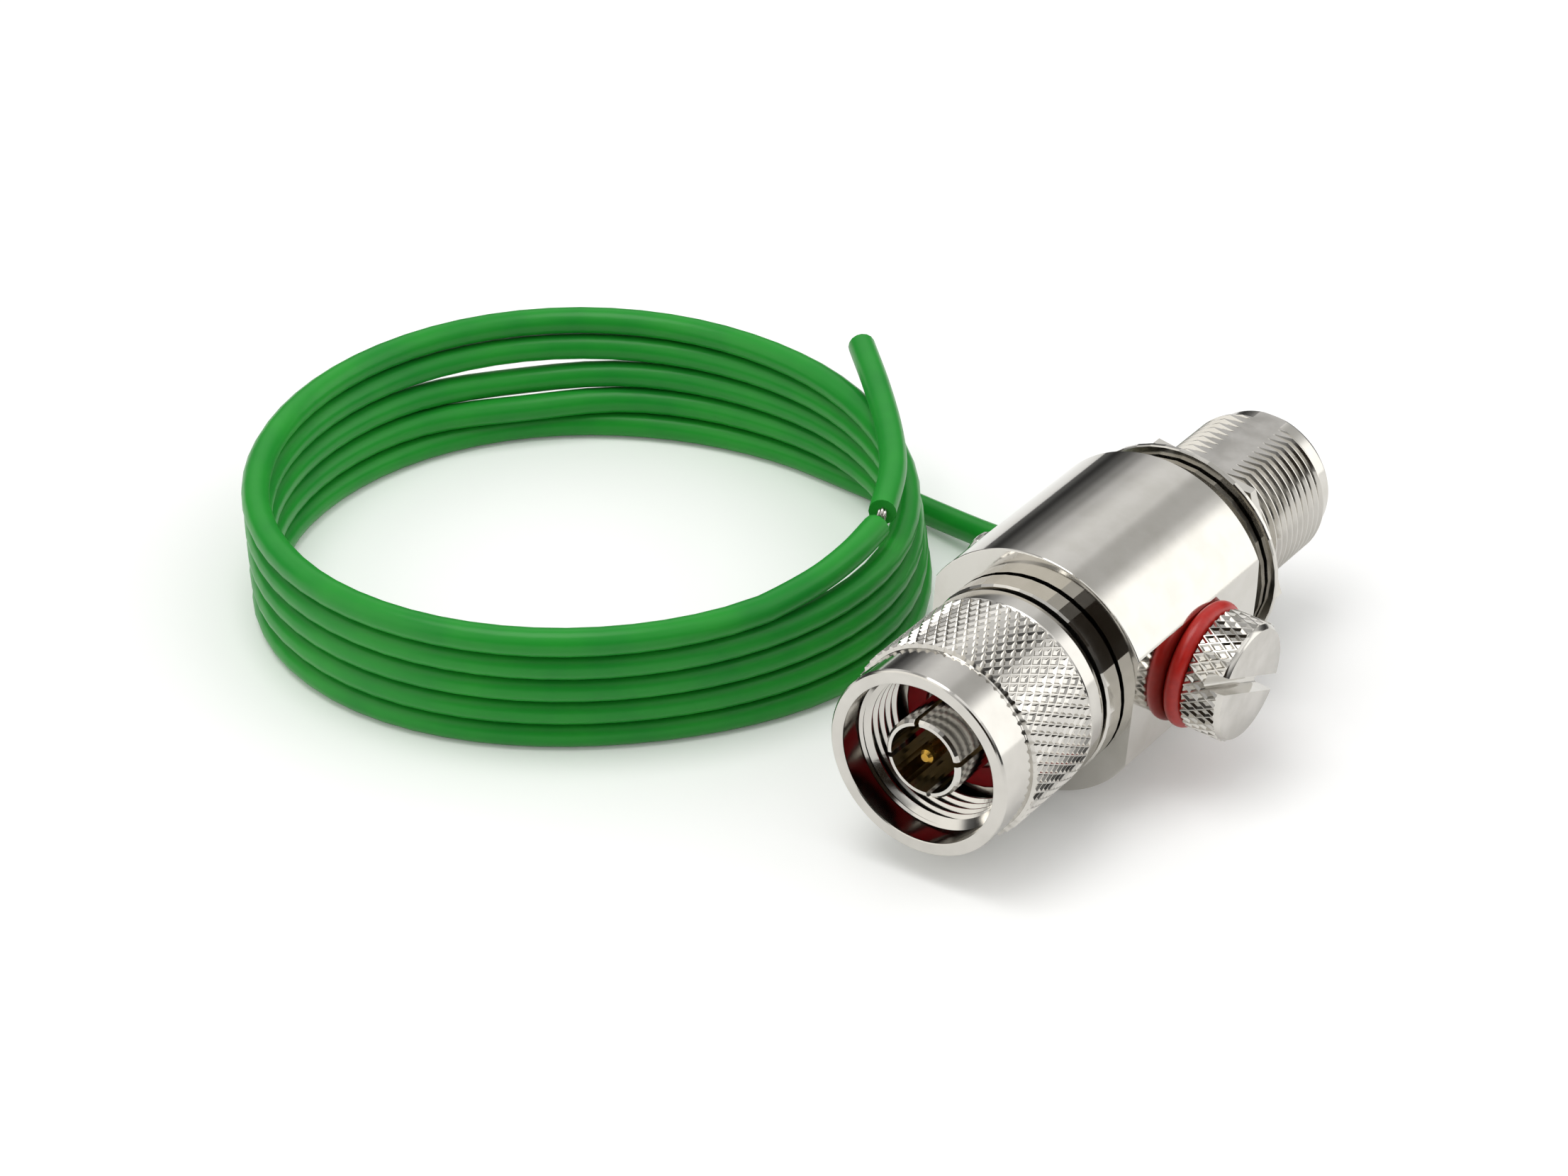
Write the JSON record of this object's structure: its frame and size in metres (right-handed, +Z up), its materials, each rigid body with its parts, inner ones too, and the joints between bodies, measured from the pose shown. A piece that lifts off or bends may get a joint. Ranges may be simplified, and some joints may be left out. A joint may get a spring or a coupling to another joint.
{
  "type": "coax lightning arrestor",
  "caption": "Coaxial surge arrestor with a knurled coupling nut, a threaded jack, a screw-in gas tube cap and a coiled green ground wire.",
  "frame": {"origin": "on the floor, at the centre of the connector's box, without the ground wire", "axes": "+X along the connector from the plug to the jack, +Y towards the ground screw and the wire coil, +Z up"},
  "size_m": [0.0725, 0.1084, 0.0254],
  "materials": {
    "nickel": "bright nickel plate",
    "satin_nickel": "satin nickel plate",
    "gold": "gold plate",
    "steel": "bright steel",
    "tin": "tin plate",
    "red_rubber": "satin red",
    "orange_rubber": "satin orange red",
    "white_plastic": "matt white",
    "ceramic": "glazed white ceramic",
    "green_plastic": "satin green"
  },
  "bodies": {
    "connector": {"plug_shell": "nickel", "nut_snap_ring": "steel", "plug_gasket": "red_rubber", "plug_insulator": "white_plastic", "plug_pin": "gold", "body": "nickel", "centre_rod": "gold", "jack_insulator": "white_plastic", "jack_socket": "gold", "gas_tube_inner_electrode": "tin", "gas_tube_ceramic": "ceramic", "gas_tube_outer_electrode": "tin", "ring_terminal": "tin", "wire_tail": "green_plastic", "wire_coil": "green_plastic", "wire_end": "green_plastic", "bare_strands": "tin", "insulation_slug": "green_plastic"},
    "coupling_nut": {"coupling_nut": "nickel"},
    "panel_washer": {"flat_washer": "nickel", "lock_washer": "steel"},
    "panel_nut": {"hex_nut": "nickel"},
    "cap_seal": {"cap_o_ring": "orange_rubber", "contact_spring": "steel"},
    "cap": {"cap": "nickel"},
    "screw_washer": {"ground_lock_washer": "steel"},
    "ground_screw": {"ground_screw": "satin_nickel"}
  },
  "joints": [
    {"name": "coupling_nut_spin", "type": "hinge", "parent": "connector", "child": "coupling_nut", "pos_m": [-0.02432, 0.00124, 0.0127], "axis": [1, 0, 0], "continuous": true},
    {"name": "panel_nut_travel", "type": "slide", "parent": "connector", "child": "panel_washer", "axis": [1, 0, 0], "range_m": [-0.0024, 0.012]},
    {"name": "panel_nut_turn", "type": "hinge", "parent": "panel_washer", "child": "panel_nut", "pos_m": [0.01558, 0.00124, 0.0127], "axis": [1, 0, 0], "range_deg": [-817, 4083]},
    {"name": "cap_travel", "type": "slide", "parent": "connector", "child": "cap_seal", "axis": [0, -0.9967, -0.0809], "range_m": [0, 0.003]},
    {"name": "cap_turn", "type": "hinge", "parent": "cap_seal", "child": "cap", "pos_m": [-0.00114, -0.01272, 0.01157], "axis": [0, -0.9967, -0.0809], "range_deg": [0, 1441]},
    {"name": "ground_screw_travel", "type": "slide", "parent": "connector", "child": "screw_washer", "axis": [0, 0.9967, 0.0809], "range_m": [0, 0.005]},
    {"name": "ground_screw_turn", "type": "hinge", "parent": "screw_washer", "child": "ground_screw", "pos_m": [0.00018, 0.01519, 0.01383], "axis": [0, 0.9967, 0.0809], "range_deg": [0, 3602]}
  ],
  "couplings": [
    {"joint": "panel_nut_turn", "follows": "panel_nut_travel", "rad_per_m": 5936.9},
    {"joint": "cap_turn", "follows": "cap_travel", "rad_per_m": 8377.6},
    {"joint": "ground_screw_turn", "follows": "ground_screw_travel", "rad_per_m": 12566}
  ]
}
